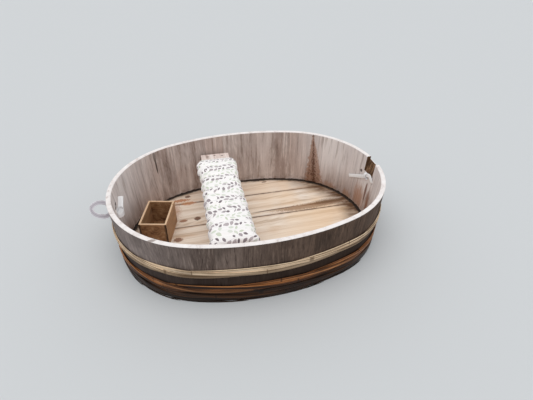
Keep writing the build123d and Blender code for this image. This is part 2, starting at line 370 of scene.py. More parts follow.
def stave_wood(number):
    """Weathered cedar, with its own shift of the grain and its own tint."""
    finish, tree, place = new_finish(f"weathered cedar {number}")
    where = place["Object"]
    vector = placed(tree, where, shift=(number * 1.37, number * 0.71, number * 0.43))
    tint = stave_tints[number]
    point = parts(tree, where)
    height = point["Z"]
    facing = parts(tree, place["Normal"])

    # Inside: grey and tan, brown with damp low down. Painted light makes both end walls paler higher up,
    # and there they are bleached in pale and dark runs.
    inside = wood(tree, vector, tone(148, 130, 121, tint), tone(188, 172, 165, tint),
                  tone(220, 206, 199), 34.0, 0.12, 1.7)
    patch = mottle(tree, vector, 4.0, 3.0, 0.42, 0.64, 0.4)
    colour = lay_over(tree, inside["Color"], tone(206, 176, 158), patch, 0.35, way="MULTIPLY")
    # Painted light: the inside of both end walls screened paler, more so higher up.
    stern_painted_light = falling(tree, point["X"], -0.85, -0.55)
    bow_painted_light = between(tree, point["X"], 0.42, 0.74)
    painted_light = times(tree, reckon(tree, "ADD", stern_painted_light, bow_painted_light), between(tree, height, 0.14, 0.38))
    colour = lay_over(tree, colour, tone(188, 182, 182), painted_light, way="SCREEN")
    pale_runs = mottle(tree, vector, 44.0, 3.0, 0.50, 0.66, 0.03)
    colour = lay_over(tree, colour, tone(236, 226, 221), pale_runs, painted_light, 0.5)
    dark_runs = mottle(tree, vector, 36.0, 3.0, 0.54, 0.70, 0.03, shift=(3, 1, 0))
    colour = lay_over(tree, colour, tone(134, 112, 100), dark_runs, painted_light, 0.45)
    damp = times(tree, falling(tree, height, 0.13, 0.20), mottle(tree, vector, 26.0, 3.0, 0.4, 0.65))
    colour = lay_over(tree, colour, tone(122, 92, 72), damp, 0.5)

    # The flame: a tall ragged cone of brown heartwood, darkest along its middle.
    off = steer(tree, "SUBTRACT", where, flame_foot)
    climb = reckon(tree, "DIVIDE", minus(tree, height, plank_top), flame_height)
    left = minus(tree, 1.0, climb)
    half = times(tree, left, flame_half_width)
    aside = times_plus(tree, climb, flame_lean, steer(tree, "DOT_PRODUCT", off, flame_run))
    serrated = cloud(tree, placed(tree, where, scale=(1, 1, 1.3)), 46.0, 5.0, 0.75)
    fray = times_plus(tree, left, 0.13, 0.03)
    aside = times_plus(tree, minus(tree, serrated, 0.5), fray, reckon(tree, "ABSOLUTE", aside))
    flame = falling(tree, aside, half, reckon(tree, "ADD", half, 0.012))
    flame = times(tree, flame, below(tree, steer(tree, "LENGTH", off), 0.44))
    colour = lay_over(tree, colour, tone(156, 112, 84), flame, 0.66)
    fringe = times(tree, between(tree, serrated, 0.53, 0.59), between(tree, aside, 0.0, half))
    colour = lay_over(tree, colour, tone(92, 60, 42), fringe, flame, 0.85)
    core = falling(tree, aside, 0.0, times(tree, half, 0.5))
    colour = lay_over(tree, colour, tone(84, 50, 34), core, flame, 0.85)
    colour = marked(tree, colour, where, wall_stains_and_slit_shade, 0.8)

    # The notch's slanting face and its two cheeks, scraped down to brown wood.
    beside = reckon(tree, "ABSOLUTE", minus(tree, point["Y"], notch_middle))
    scoop = times(tree, below(tree, beside, 0.067), above(tree, point["X"], 0.8),
                  above(tree, facing["Z"], 0.13))
    sideways = above(tree, reckon(tree, "ABSOLUTE", facing["Y"]), 0.75)
    cheek = times(tree, sideways, below(tree, beside, 0.072), above(tree, point["X"], 0.84),
                  above(tree, height, 0.405))
    scraped = wood(tree, vector, tone(56, 38, 26), tone(100, 74, 53), tone(152, 118, 90), 60.0, 0.1, 2.2)
    colour = lay_over(tree, colour, scraped["Color"], reckon(tree, "MAXIMUM", scoop, cheek))

    # Painted shade and dirt in the joint with the planks, ragged along its upper edge.
    joint = times_plus(tree, cloud(tree, where, 40.0, 3.0), 0.020, 0.119)
    colour = lay_over(tree, colour, tone(34, 24, 18), below(tree, height, joint), 0.92)

    # Outside: dark with damp and painted shade, paler and greyer towards the stern, browner towards the bow,
    # and dark brown below the upper hoop.
    outside = wood(tree, vector, tone(64, 54, 49), tone(108, 96, 90, tint), tone(146, 133, 125),
                   90.0, 0.12, 1.2)
    bow_share = between(tree, point["X"], -0.75, 0.35)
    weather = lay_over(tree, tone(255, 250, 248), tone(205, 184, 166), bow_share)
    dark = lay_over(tree, outside["Color"], weather, 1.0, way="MULTIPLY")
    stern_bleach = falling(tree, point["X"], -0.90, -0.35)
    dark = lay_over(tree, dark, tone(92, 86, 86), stern_bleach, way="SCREEN")
    grime = mottle(tree, vector, 9.0, 4.0, 0.48, 0.68, 0.5)
    dark = lay_over(tree, dark, tone(52, 42, 36), grime, 0.45)
    under_hoop = falling(tree, height, 0.300, 0.330)
    dark = lay_over(tree, dark, tone(30, 14, 3), under_hoop, 0.82)
    flat_aim = steer(tree, "NORMALIZE", vector_of(tree, point["X"], point["Y"]))
    outward = between(tree, steer(tree, "DOT_PRODUCT", flat_aim, place["Normal"]), -0.1, 0.1)
    # The outer faces take this dark colour: damp wood with painted shade.
    colour = lay_over(tree, colour, dark, outward)

    # The rim: worn and bleached nearly white, with one chip.
    bleached = wood(tree, vector, tone(206, 192, 186), tone(242, 234, 231), tone(250, 245, 243),
                    22.0, 0.05, 1.3)
    rim = times(tree, between(tree, facing["Z"], 0.35, 0.6), between(tree, height, 0.50, 0.52))
    colour = lay_over(tree, colour, bleached["Color"], rim)
    colour = marked(tree, colour, where, rim_chips)
    return sealed(finish, colour, inside["Height"], 0.0010, 0.6, roughness=0.82, gloss=0.2)


cedar = [stave_wood(number) for number in range(len(stave_tints))]
stave_names = sorted(name for name in nodes if name.startswith("stave"))
for number, name in enumerate(stave_names):
    wear(nodes[name], cedar[(number * 5 + number // 7) % len(cedar)])

# Bottom planks
# Five broad boards, edge to edge, let into a groove round the staves. They are worn to a warm
# tan by feet and darker at the knots, with painted shade in the seams and, with dirt, in the corner by the
# wall.
plank_width = 0.290
plank_shift = 0.099
plank_turn = radians(-1.8)
# Knots, stains and scratches: X, Y, reach along and across, raggedness, colour and strength.
plank_marks = [
    (-0.358, 0.192, 0.028, 0.026, 0.6, (104, 64, 42), 0.9),
    (-0.461, 0.189, 0.034, 0.018, 0.9, (150, 96, 62), 0.85),
    (-0.517, -0.014, 0.036, 0.026, 0.7, (132, 82, 52), 0.85),
    (-0.396, 0.493, 0.026, 0.018, 0.8, (110, 66, 40), 0.85),
    (-0.455, 0.452, 0.085, 0.020, 1.4, (188, 116, 66), 0.8),
    (-0.400, 0.400, 0.060, 0.026, 1.5, (196, 126, 74), 0.7),
    (-0.500, 0.330, 0.050, 0.120, 1.6, (176, 116, 76), 0.5),
    (0.244, 0.547, 0.026, 0.010, 0.6, (120, 76, 50), 0.8),
    (0.230, 0.152, 0.215, 0.008, 0.20, (92, 64, 42), 0.8),
    (0.600, 0.143, 0.220, 0.009, 0.22, (84, 58, 38), 0.85),
    (0.520, 0.130, 0.330, 0.040, 0.9, (150, 110, 76), 0.75),
    (0.640, 0.150, 0.160, 0.046, 0.9, (112, 80, 54), 0.8),
    (-0.610, 0.250, 0.120, 0.260, 0.9, (150, 118, 92), 0.5),
    (-0.800, 0.235, 0.036, 0.085, 0.8, (42, 31, 24), 0.9),
]
plank_stains = [
    ((x, y, plank_top), (reach_along, reach_across, 0.05), ragged, brown, amount)
    for x, y, reach_along, reach_across, ragged, brown, amount in plank_marks
]


def edge_distance(tree, where, reach_end, reach_side):
    """How far inside the oval a point of the planks lies."""
    point = parts(tree, where)
    far_x = reckon(tree, "ABSOLUTE", point["X"])
    far_y = reckon(tree, "ABSOLUTE", point["Y"])
    end_x = minus(tree, far_x, end_centre)
    side_y = reckon(tree, "ADD", far_y, side_centre)
    end_far = steer(tree, "LENGTH", vector_of(tree, end_x, far_y))
    side_far = steer(tree, "LENGTH", vector_of(tree, far_x, side_y))
    at_end = above(tree, times(tree, end_x, sin(junction)), times(tree, far_y, cos(junction)))
    end_gap = times(tree, minus(tree, reach_end, end_far), at_end)
    return times_plus(tree, minus(tree, reach_side, side_far), minus(tree, 1.0, at_end), end_gap)


def plank_wood(number):
    """Worn cedar boards, with the grain along the boat."""
    finish, tree, place = new_finish(f"worn plank {number}")
    where = place["Object"]
    shift = (number * 0.9, number * 0.37, 0)
    along_x = placed(tree, where, turn=(0, pi / 2, -plank_turn), shift=shift)
    boards = wood(tree, along_x, tone(208, 184, 161), tone(238, 221, 204), tone(248, 236, 224),
                  18.0, 0.2, 1.9)
    point = parts(tree, where)
    warm = times(tree, between(tree, point["X"], -0.2, 0.6), mottle(tree, where, 3.0, 2.0, 0.35, 0.65))
    colour = lay_over(tree, boards["Color"], tone(244, 205, 160), warm, 0.5)

    # Seams: painted shade in the gaps between the boards, a dark line in each with a brown halo.
    across = parts(tree, placed(tree, where, turn=(0, 0, -plank_turn)))["Y"]
    share = reckon(tree, "DIVIDE", minus(tree, across, plank_shift), plank_width)
    seam = reckon(tree, "ABSOLUTE", minus(tree, reckon(tree, "FRACT", share), 0.5))
    seam = times_plus(tree, stray(tree, where, 22.0, 3.0), 0.030, seam)
    colour = lay_over(tree, colour, tone(150, 112, 80), between(tree, seam, 0.43, 0.49), 0.45)
    colour = lay_over(tree, colour, tone(80, 56, 38), between(tree, seam, 0.478, 0.490), 0.85)
    smudge = mottle(tree, along_x, 16.0, 4.0, 0.50, 0.72, 0.2)
    colour = lay_over(tree, colour, tone(206, 166, 128), smudge, 0.45)
    colour = marked(tree, colour, where, plank_stains, 0.85)

    # The corner by the wall, painted shade with dirt: darker all round, brown towards the bow, and black in
    # the joint.
    inner = flare * (hull_depth - plank_top) + wall
    gap = edge_distance(tree, where, end_radius - inner, side_radius - inner)
    gap = times_plus(tree, stray(tree, where, 30.0, 3.0), 0.03, gap)
    colour = lay_over(tree, colour, tone(120, 88, 60), falling(tree, gap, 0.010, 0.050), 0.6)
    corner = times(tree, falling(tree, gap, 0.030, 0.190), between(tree, point["X"], 0.36, 0.62))
    mottled = times_plus(tree, mottle(tree, along_x, 30.0, 4.0, 0.30, 0.62, 0.3), 0.5, 0.5)
    colour = lay_over(tree, colour, tone(96, 64, 38), corner, mottled)
    colour = lay_over(tree, colour, tone(30, 21, 15), falling(tree, gap, 0.012, 0.022), 0.92)
    return sealed(finish, colour, boards["Height"], 0.001, 0.5, roughness=0.75)


for number in range(1, 6):
    wear(nodes[f"bottom_plank_{number}"], plank_wood(number))

# Hoops
# Each hoop is three long flat strips of split bamboo, twisted round each other into a broad
# ring and driven up the taper of the hull. The upper one is dry and pale, the rest are damp.
hoop_height = 0.065
hoop_depth = 0.014
hoop_length = 4.9
strip_height = 0.031
strip_thick = 0.0062
strip_climb = (hoop_height - strip_height) / 2
strip_swing = (hoop_depth - strip_thick) / 2
strip_runs = 480
strip_edges = 18
cane_joints = 12
knuckle_length = 0.012
hoop_arcs = [
    (end_centre, 0.0, end_radius, -junction, 2 * junction, 22),
    (0.0, -side_centre, side_radius, junction, pi - 2 * junction, 8),
    (-end_centre, 0.0, end_radius, pi - junction, 2 * junction, 22),
    (0.0, side_centre, side_radius, pi + junction, pi - 2 * junction, 8),
]
hoop_steps = 60


def laid_band(name, runs, edges, place):
    """A grid rolled up into a band: place gives a point from its shares along and around."""
    bpy.ops.object.select_all(action="DESELECT")
    bpy.ops.mesh.primitive_grid_add(x_subdivisions=runs, y_subdivisions=edges, size=1.0)
    piece = bpy.context.object
    piece.name = name
    piece.data.name = name
    for vertex in piece.data.vertices:
        vertex.co = place(vertex.co.x + 0.5, vertex.co.y + 0.5)
    bpy.ops.object.mode_set(mode="EDIT")
    bpy.ops.mesh.select_all(action="SELECT")
    bpy.ops.mesh.remove_doubles(threshold=0.00002)
    bpy.ops.mesh.normals_make_consistent(inside=False)
    bpy.ops.mesh.faces_shade_smooth()
    bpy.ops.object.mode_set(mode="OBJECT")
    return piece


def swelled(value, power):
    """A sine or cosine raised to a power with its sign kept, which squares up a round section."""
    return copysign(abs(value) ** power, value)


def hoop_station(share):
    """Centre, radius and heading of the hull's outer line at this share of the way round."""
    count = share % 1.0 * hoop_steps
    for centre_x, centre_y, radius, start, sweep, steps in hoop_arcs:
        if count <= steps:
            break
        count -= steps
    angle = start + sweep * count / steps
    return Vector((centre_x, centre_y, 0.0)), radius, Vector((cos(angle), sin(angle), 0.0))


def hoop_strip(top, strip, twists):
    """The place of every point of one strip, for laid_band."""

    def place(along, around):
        share = along + 0.62 + 0.13 * strip + 1.9 * top
        centre, radius, out = hoop_station(share)
        turn = tau * (twists * share + strip / 3)
        joint = cane_joints * along + 0.35 * sin(3 * tau * along)
        joint = abs(joint - round(joint)) / cane_joints * hoop_length
        knuckle = exp(-((joint / knuckle_length) ** 2))
        waver = 0.0012 * sin(tau * (7 * along + 0.3 * strip))
        height = top - hoop_height / 2 + strip_climb * cos(turn) + waver
        proud = hoop_depth / 2 + strip_swing * sin(turn)
        face = tau * around
        tall = swelled(cos(face), 0.6) * strip_height / 2
        thick = swelled(sin(face), 0.8) * strip_thick / 2
        tall *= 1.0 + 0.07 * sin(tau * (5 * along + 0.21 * strip))
        thick *= 1.0 + 0.45 * knuckle
        lean = flare * (hull_depth - height - tall)
        return centre + out * (radius - lean + proud + thick) + Vector((0.0, 0.0, height + tall))

    return place


def bamboo(name, deep, middle, pale, shadow_height, roughness):
    """Split bamboo: long fibres and splits, dark rings at the cane's joints, and painted shade with damp
    lower down.
    """
    finish, tree, place = new_finish(name)
    where = place["Object"]
    height = parts(tree, where)["Z"]
    spread = parts(tree, add_node(tree, "UVMap").outputs[0])
    along = vector_of(tree, times(tree, spread["Y"], 0.075), times(tree, height, 0.05),
                      times(tree, spread["X"], hoop_length))
    strip = wood(tree, along, deep, middle, pale, 110.0, 0.05, 3.2)
    patch = mottle(tree, where, 6.0, 4.0, 0.45, 0.7)
    colour = lay_over(tree, strip["Color"], deep, patch, 0.5)
    for split_place in (0.17, 0.245, 0.33):
        sway = times_plus(tree, cloud(tree, along, 1.4, 1.0), 0.09, split_place - 0.045)
        split = reckon(tree, "ABSOLUTE", minus(tree, spread["Y"], sway))
        colour = lay_over(tree, colour, deep, falling(tree, split, 0.004, 0.013), 0.6)
    joint = reckon(tree, "SINE", times(tree, spread["X"], 3 * tau))
    joint = times_plus(tree, joint, 0.35, times(tree, spread["X"], cane_joints))
    joint = reckon(tree, "FRACT", reckon(tree, "ADD", joint, 0.5))
    ring = falling(tree, reckon(tree, "ABSOLUTE", minus(tree, joint, 0.5)), 0.006, 0.014)
    colour = lay_over(tree, colour, deep, ring, 0.7)
    # Painted shade, with damp, on the lower part of each hoop.
    low = falling(tree, height, shadow_height - 0.008, shadow_height + 0.006)
    colour = lay_over(tree, colour, deep, low, 0.62)
    return sealed(finish, colour, strip["Height"], 0.0009, 0.7, roughness, gloss=0.2)


# Each cane's deep, middle and pale colour, the height its shade begins at, and its roughness.
dry_cane = bamboo("bamboo dry", tone(100, 77, 55), tone(234, 204, 170), tone(246, 224, 196), 0.340, 0.6)
damp_cane = bamboo("bamboo damp", tone(34, 18, 8), tone(146, 89, 46), tone(202, 138, 84), 0.202, 0.5)
wet_cane = bamboo("bamboo wet", tone(14, 7, 3), tone(54, 30, 13), tone(98, 61, 31), 0.135, 0.45)
soaked_cane = bamboo("bamboo soaked", tone(13, 8, 5), tone(36, 22, 12), tone(68, 42, 23), 0.060, 0.4)
hoops = [
    ("upper", 0.374, 4, "bamboo_pale", dry_cane),
    ("middle", 0.243, 5, "bamboo_wet", damp_cane),
    ("lower", 0.177, 4, "bamboo_wet", wet_cane),
    ("foot", 0.111, 5, "bamboo_wet", soaked_cane),
]
for name, top, twists, finish_slot, cane in hoops:
    for strip in range(3):
        lie = hoop_strip(top, strip, twists)
        piece = laid_band(f"hoop_{name}_strip_{strip + 1}", strip_runs, strip_edges, lie)
        piece.data.materials.append(cane)
        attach(piece, "root")
        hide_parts(f"hoop_{name}")

# Webbing handles
# A white flat band, woven with three ribs, runs out through two slots in each end of the hull
# and back. A turn of it is knotted round its stiff loose tail inside.
band_width = 0.028
band_thick = 0.0046
band_edges = 24
band_reach = 0.0008


def band_stop(stops, share, ringed):
    """A point of the band's middle line and the way its face looks, between its stops."""
    count = len(stops) if ringed else len(stops) - 1
    number = min(int(share * count), count - 1)
    part = share * count - number
    near = range(number - 1, number + 3)
    if ringed:
        near = [stops[stop % len(stops)] for stop in near]
    else:
        near = [stops[max(0, min(len(stops) - 1, stop))] for stop in near]
    found = []
    for side in (0, 1):
        before, first, second, after = (Vector(stop[side]) for stop in near)
        pull_first = (second - before) / 2
        pull_second = (after - first) / 2
        cube = part**3
        square = part**2
        found.append(
            first * (2 * cube - 3 * square + 1) + pull_first * (cube - 2 * square + part)
            + second * (3 * square - 2 * cube) + pull_second * (cube - square)
        )
    return found


def band_lie(stops, ringed, width):
    """The place of every point of a length of webbing, for laid_band."""

    def place(along, around):
        share = along % 1.0 if ringed else along
        point, look = band_stop(stops, share, ringed)
        sides = (share + band_reach, share - band_reach)
        if ringed:
            sides = [side % 1.0 for side in sides]
        else:
            sides = [max(0.0, min(1.0, side)) for side in sides]
        ahead, behind = (band_stop(stops, side, ringed)[0] for side in sides)
        run = (ahead - behind).normalized()
        edge = run.cross(look).normalized()
        look = edge.cross(run).normalized()
        face = tau * around
        across = swelled(cos(face), 0.75)
        deep = swelled(sin(face), 0.7) * band_thick / 2
        deep *= 0.72 + 0.28 * cos(2.5 * pi * across) ** 2
        shut = 0.0 if not ringed and abs(along - 0.5) > 0.4999 else 1.0
        return point + (edge * across * width / 2 + look * deep) * shut

    return place


def webbing(name, white, dirt_and_shade):
    """White woven webbing with dirt in patches, and painted shade: lilac-grey over the middle of each face
    and dark lines along its ribs.
    """
    finish, tree, place = new_finish(name)
    where = place["Object"]
    across = parts(tree, add_node(tree, "UVMap").outputs[0])["Y"]
    inputs = {"Vector": where, "Scale": 160.0, "Distortion": 1.0}
    weave = add_node(tree, "TexWave", inputs, bands_direction="DIAGONAL").outputs["Fac"]
    dirt = mottle(tree, where, 34.0, 4.0, 0.46, 0.72)
    colour = lay_over(tree, white, tone(150, 138, 136), dirt, dirt_and_shade)
    # Painted shade: lilac-grey over the middle of each face, and dark lines along the ribs, as strong as the
    # dirt.
    face_shade = reckon(tree, "ABSOLUTE", reckon(tree, "SINE", times(tree, across, tau)))
    face_shade = between(tree, face_shade, 0.55, 0.85)
    colour = lay_over(tree, colour, tone(190, 182, 189), face_shade, dirt_and_shade)
    ribs = between(tree, reckon(tree, "COSINE", times(tree, across, 8 * tau)), 0.6, 0.98)
    colour = lay_over(tree, colour, tone(112, 104, 112), ribs, dirt_and_shade, 0.6)
    return sealed(finish, colour, weave, 0.0006, 0.5, roughness=0.8)


# Three copies of the webbing: the loops soiled and darkened with painted shade, the tails and turns kept
# cleaner and whiter as painted light against the wall's shade.
band_finishes = {
    "band": webbing("webbing soiled and shaded", tone(248, 245, 248), 0.9),
    "tail": webbing("webbing clean with painted light", tone(253, 252, 252), 0.07),
    "turn": webbing("webbing knotted", tone(253, 252, 252), 0.22),
}
# Each stop of a band: a point of its middle line, and the way its face looks there.
stern_loop = [
    ((-0.866, 0.031, 0.445), (0, -0.21, 0.98)),
    ((-0.880, 0.0315, 0.445), (0, -0.21, 0.98)),
    ((-0.900, 0.036, 0.448), (0, -0.30, 0.95)),
    ((-0.918, 0.050, 0.460), (-0.05, -0.55, 0.83)),
    ((-0.955, 0.057, 0.467), (-0.1, -0.75, 0.65)),
    ((-0.988, 0.054, 0.458), (-0.3, -0.72, 0.6)),
    ((-1.008, 0.040, 0.438), (-0.45, -0.7, 0.5)),
    ((-0.995, 0.018, 0.416), (-0.3, -0.8, 0.5)),
    ((-0.960, 0.000, 0.402), (-0.1, -0.85, 0.5)),
    ((-0.922, -0.001, 0.397), (0, -0.7, 0.7)),
    ((-0.900, 0.024, 0.399), (0, -0.3, 0.95)),
    ((-0.882, 0.040, 0.397), (0, -0.21, 0.98)),
    ((-0.850, 0.044, 0.397), (0, -0.21, 0.98)),
]
stern_tail = [
    ((-0.848, 0.010, 0.378), (0.1, -0.80, 0.6)),
    ((-0.842, 0.030, 0.396), (0.0, -0.75, 0.66)),
    ((-0.838, 0.065, 0.424), (-0.1, -0.70, 0.7)),
    ((-0.832, 0.112, 0.458), (-0.1, -0.66, 0.75)),
]
stern_turn = [
    ((-0.861, 0.000, 0.398), (-0.7, -0.5, 0.1)),
    ((-0.845, -0.014, 0.395), (0.0, -0.8, 0.5)),
    ((-0.824, 0.002, 0.397), (0.8, -0.3, 0.2)),
    ((-0.822, 0.034, 0.407), (0.8, 0.6, 0.1)),
    ((-0.840, 0.046, 0.412), (0.0, 0.9, 0.0)),
    ((-0.857, 0.030, 0.406), (-0.8, 0.4, 0.0)),
]
bow_loop = [
    ((0.850, -0.1016, 0.405), (0, -1, 0)),
    ((0.882, -0.1046, 0.405), (0, -1, 0)),
    ((0.908, -0.108, 0.400), (0.3, -0.95, 0.2)),
    ((0.932, -0.116, 0.382), (0.7, -0.6, 0.3)),
    ((0.946, -0.108, 0.352), (0.9, -0.3, 0.3)),
    ((0.955, -0.085, 0.330), (0.95, 0, 0.3)),
    ((0.960, -0.058, 0.322), (0.95, 0, 0.3)),
    ((0.957, -0.030, 0.332), (0.95, 0, 0.3)),
    ((0.947, -0.006, 0.354), (0.9, 0.3, 0.3)),
    ((0.932, 0.002, 0.384), (0.7, 0.6, 0.3)),
    ((0.910, -0.008, 0.401), (0.3, 0.95, 0.2)),
    ((0.889, -0.0125, 0.405), (0, 1, 0)),
    ((0.856, -0.0097, 0.405), (0, 1, 0)),
]
bow_tail = [
    ((0.858, -0.104, 0.400), (-0.9, -0.3, 0.1)),
    ((0.846, -0.098, 0.418), (-0.95, -0.1, 0.1)),
    ((0.845, -0.066, 0.443), (-0.95, -0.1, 0.2)),
    ((0.850, -0.020, 0.424), (-0.95, 0.0, 0.2)),
    ((0.853, 0.012, 0.396), (-0.95, -0.05, 0.1)),
    ((0.841, 0.099, 0.351), (-0.93, -0.15, 0.1)),
    ((0.819, 0.181, 0.312), (-0.90, -0.28, 0.1)),
]
bow_turn = [
    ((0.862, -0.012, 0.396), (0.3, 0.2, -0.9)),
    ((0.846, -0.014, 0.394), (-0.7, 0.1, -0.7)),
    ((0.838, -0.008, 0.410), (-0.9, 0.1, 0.1)),
    ((0.844, -0.002, 0.428), (-0.6, 0.1, 0.8)),
    ((0.860, 0.000, 0.430), (0.3, 0.1, 0.9)),
]
handle_pieces = [
    ("strap_stern_band", stern_loop, False, band_width, 120, "strap_stern"),
    ("strap_stern_tail", stern_tail, False, 0.035, 40, "strap_stern_knot"),
    ("strap_stern_turn", stern_turn, True, 0.028, 60, "strap_stern_knot"),
    ("strap_bow_band", bow_loop, False, band_width, 120, "strap_bow"),
    ("strap_bow_tail", bow_tail, False, 0.026, 80, "strap_bow_knot"),
    ("strap_bow_turn", bow_turn, True, 0.022, 60, "strap_bow_knot"),
]
for name, stops, ringed, width, runs, plain in handle_pieces:
    piece = laid_band(name, runs, band_edges, band_lie(stops, ringed, width))
    piece.data.materials.append(band_finishes[name.split("_")[-1]])
    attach(piece, "root")
    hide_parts(plain)

# Bench
# One pale bare board, nailed through its ends onto two upright plank legs. It stands loose
# across the boat, and its far end shows beyond the pad.
bench_top = 0.418
bench_nails = [(-0.205, 0.553), (-0.095, 0.548), (-0.150, 0.566), (-0.235, -0.548), (-0.150, -0.552)]
nail_stains = [((x, y, bench_top), (0.011, 0.008, 0.02), 0.7, (92, 70, 60), 0.8) for x, y in bench_nails]


def bench_wood(name, turn):
    """Bare board, with the grain along it."""
    finish, tree, place = new_finish(name)
    where = place["Object"]
    vector = placed(tree, where, turn=turn)
    boards = wood(tree, vector, tone(178, 152, 142), tone(226, 208, 200), tone(240, 228, 222), 26.0, 0.2, 1.8)
    colour = marked(tree, boards["Color"], where, nail_stains)
    return sealed(finish, colour, boards["Height"], 0.001, 0.5, roughness=0.75)


wear(nodes["bench_board"], bench_wood("bench board", (pi / 2, 0, 0)))
leg_wood = bench_wood("bench leg", (0, 0, 0))
wear(nodes["bench_leg_far"], leg_wood)
wear(nodes["bench_leg_near"], leg_wood)

# Bench pad
# A sleeve of printed cotton over soft wadding, pulled over the bench board from its far end.
# It is a little too large for the board, so that it lies in shallow puckers across it.
board_low, board_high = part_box("bench_board")
pad_low, pad_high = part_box("bench_pad")
bench_turn = radians(-3.2)
bench_place = Matrix.Translation((board_low + board_high) / 2) @ Matrix.Rotation(bench_turn, 4, "Z")
pad_lift = (pad_low.z + pad_high.z - board_low.z - board_high.z) / 2
pad_near_end = -0.5257
pad_far_end = 0.5077
pad_width = 0.282
pad_height = 0.080
pad_corner = 0.034
slot_width = 0.2126
slot_height = 0.0306
pad_columns = 120
pad_rows = 150
turned_rows = 6
turned_depth = 0.034
taper_rows = 22
taper_depth = 0.125
inner_rows = 8
pad_stir = 0.014
loose_side = 0.008
cloth_steps = 20
cloth_settings = {
    "quality": 6, "mass": 0.25, "tension_stiffness": 18, "compression_stiffness": 18,
    "shear_stiffness": 6, "bending_stiffness": 0.15, "shrink_min": -0.045, "shrink_max": -0.045,
    "use_pressure": True, "uniform_pressure_force": 4, "vertex_group_mass": "seated",
}
# Puckers across the sleeve: place along it, slant, depth and width.
pucker_depth = 1.9
puckers = [
    (-0.455, 0.10, 0.006, 0.012), (-0.385, -0.16, 0.004, 0.009), (-0.320, 0.06, 0.007, 0.014),
    (-0.235, 0.18, 0.005, 0.010), (-0.170, -0.08, 0.007, 0.013), (-0.095, 0.12, 0.004, 0.009),
    (-0.030, -0.15, 0.007, 0.014), (0.055, 0.05, 0.006, 0.011), (0.120, 0.20, 0.004, 0.009),
    (0.185, -0.06, 0.008, 0.014), (0.255, 0.10, 0.005, 0.010), (0.325, -0.12, 0.007, 0.013),
    (0.385, 0.08, 0.004, 0.010),
]


def round_box(share, wide, tall, corner):
    """A point on a rectangle with round corners, by its share of the way round from below."""
    quarter = corner * pi / 2
    runs = [wide / 2 - corner, quarter, tall - 2 * corner, quarter, wide - 2 * corner, quarter,
            tall - 2 * corner, quarter, wide / 2 - corner]
    left = share * sum(runs)
    point = Vector((0.0, -tall / 2))
    heading = 0.0
    for number, run in enumerate(runs):
        part = min(left, run)
        if number % 2:
            centre = point + Vector((-sin(heading), cos(heading))) * corner
            heading += part / corner
            point = centre + Vector((sin(heading), -cos(heading))) * corner
        else:
            point = point + Vector((cos(heading), sin(heading))) * part
        left -= part
    return point


def pad_ring(along, swell):
    """One ring of the sleeve's points, from the board's slot (0) to the full sleeve (1)."""
    ring = []
    for column in range(pad_columns):
        full = round_box(column / pad_columns, pad_width, pad_height, pad_corner)
        slot_x = max(-slot_width / 2, min(slot_width / 2, full.x * 1.1 * slot_width / pad_width))
        slot_z = max(-slot_height / 2, min(slot_height / 2, full.y * 1.1 * slot_height / pad_height))
        x = slot_x + (full.x - slot_x) * swell
        z = slot_z + (full.y + pad_lift - slot_z) * swell
        sink = 0.0
        for pucker, slant, depth, width in puckers:
            off = along - pucker - slant * full.x - 0.006 * sin(31 * full.x + 17 * pucker)
            fade = 0.55 + 0.45 * sin(24 * full.x + 90 * pucker)
            sink += depth * fade * exp(-((off / width) ** 2))
        sink *= swell * pucker_depth
        top = max(0.0, full.y / pad_height * 2)
        edge = (2 * abs(full.x) / pad_width) ** 6
        z -= sink * top
        x -= copysign(sink * edge * 1.2, full.x)
        ruffle = sin(47 * along + (2.0 if full.x > 0 else 0.0))
        x += copysign(0.003 * edge * swell * ruffle, full.x)
        if full.x < 0:
            bulge = loose_side + 0.004 * sin(63 * along + 1.0)
            x -= bulge * edge * max(0.0, swell * 2 - 1)
        ring.append(bench_place @ Vector((x, along, z)))
    return ring


sleeve_rings = []
for row in range(turned_rows):
    quarter = pi / 2 * row / turned_rows
    sleeve_rings.append((pad_near_end + turned_depth * (1 - cos(quarter)), sin(quarter)))
full_length = pad_far_end - pad_near_end - turned_depth - taper_depth
for row in range(pad_rows + 1):
    sleeve_rings.append((pad_near_end + turned_depth + full_length * row / pad_rows, 1.0))
for row in range(taper_rows - 1, -1, -1):
    share = row / taper_rows
    sleeve_rings.append((pad_far_end - taper_depth * share, 1 - (1 - share) ** 1.7))
for row in range(1, inner_rows):
    sleeve_rings.append((pad_far_end + (pad_near_end - pad_far_end) * row / inner_rows, 0.0))

sleeve = bmesh.new()
cloth_map = sleeve.loops.layers.uv.new("cloth")
seat_layer = sleeve.verts.layers.deform.new()
girth = 2 * (pad_width + pad_height) - (8 - 2 * pi) * pad_corner
grid = []
for along, swell in sleeve_rings:
    row = [sleeve.verts.new(point) for point in pad_ring(along, swell)]
    for vertex in row:
        if swell < 0.3:
            vertex[seat_layer][0] = 1.0
        elif along > pad_far_end - taper_depth:
            vertex[seat_layer][0] = 0.4
    grid.append(row)
for row, (along, swell) in enumerate(sleeve_rings):
    next_row = (row + 1) % len(grid)
    next_along = sleeve_rings[next_row][0]
    for column in range(pad_columns):
        beside = (column + 1) % pad_columns
        corners = (grid[row][column], grid[row][beside], grid[next_row][beside], grid[next_row][column])
        face = sleeve.faces.new(corners)
        face.smooth = True
        places = ((column, along), (column + 1, along), (column + 1, next_along), (column, next_along))
        for loop, (step, reach) in zip(face.loops, places):
            loop[cloth_map].uv = (girth * step / pad_columns, reach)
bmesh.ops.recalc_face_normals(sleeve, faces=sleeve.faces)
sleeve_mesh = bpy.data.meshes.new("bench_pad_sleeve")
sleeve.to_mesh(sleeve_mesh)
sleeve.free()
sleeve_piece = bpy.data.objects.new("bench_pad_sleeve", sleeve_mesh)
bpy.context.scene.collection.objects.link(sleeve_piece)
sleeve_piece.vertex_groups.new(name="seated")
bpy.ops.object.select_all(action="DESELECT")
sleeve_piece.select_set(True)
